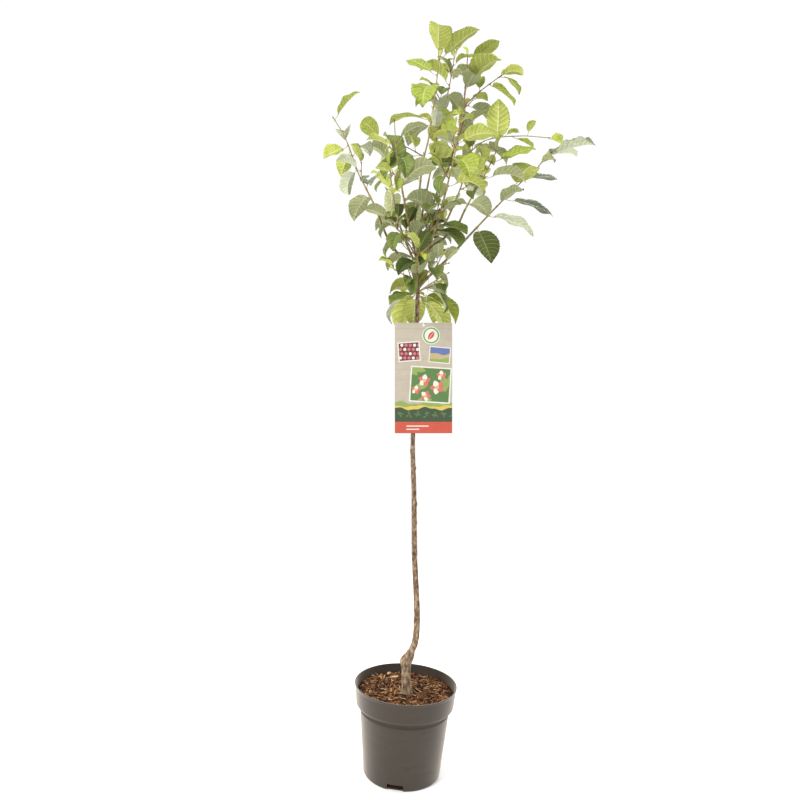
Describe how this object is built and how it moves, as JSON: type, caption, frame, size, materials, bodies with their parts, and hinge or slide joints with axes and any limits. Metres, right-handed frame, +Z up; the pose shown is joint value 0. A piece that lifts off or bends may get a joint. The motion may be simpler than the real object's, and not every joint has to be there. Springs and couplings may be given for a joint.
{
  "type": "potted morello cherry tree",
  "caption": "Young grafted cherry tree with a bare bent trunk and an open leafy crown, growing in a round nursery pot, with a hanging picture label.",
  "frame": {"origin": "centre of the flat underside of the pot", "axes": "+Z up along the trunk, -Y towards the face of the label, +X to the right of that face"},
  "size_m": [0.6366, 0.5636, 1.7735],
  "materials": {
    "pot": "matte moulded plastic",
    "soil": "bark mulch over compost",
    "bark": "grey-brown bark",
    "young_bark": "smooth olive-brown bark",
    "foliage": "satin leaves",
    "label": "printed plastic card",
    "string": "thin white cord"
  },
  "bodies": {
    "root": {"pot": "pot", "soil": "soil", "trunk": "bark", "bough_left": "young_bark", "bough_right_low": "young_bark", "bough_right_high": "young_bark", "bough_leader_left": "young_bark", "bough_leader_right": "young_bark", "bough_leader_rear": "young_bark", "bough_front_left": "young_bark", "bough_front_right": "young_bark", "bough_rear_left": "young_bark", "bough_rear_right": "young_bark", "foliage_left": "foliage", "foliage_right_low": "foliage", "foliage_right_high": "foliage", "foliage_leader_left": "foliage", "foliage_leader_right": "foliage", "foliage_leader_rear": "foliage", "foliage_front_left": "foliage", "foliage_front_right": "foliage", "foliage_rear_left": "foliage", "foliage_rear_right": "foliage", "foliage_low": "foliage", "foliage_spur_left": "foliage", "foliage_spur_right": "foliage", "foliage_inner_left": "foliage", "foliage_inner_right": "foliage", "foliage_inner_front": "foliage", "foliage_inner_rear": "foliage", "foliage_inner_low": "foliage", "hanging_label": "label", "label_string": "string"}
  },
  "joints": []
}
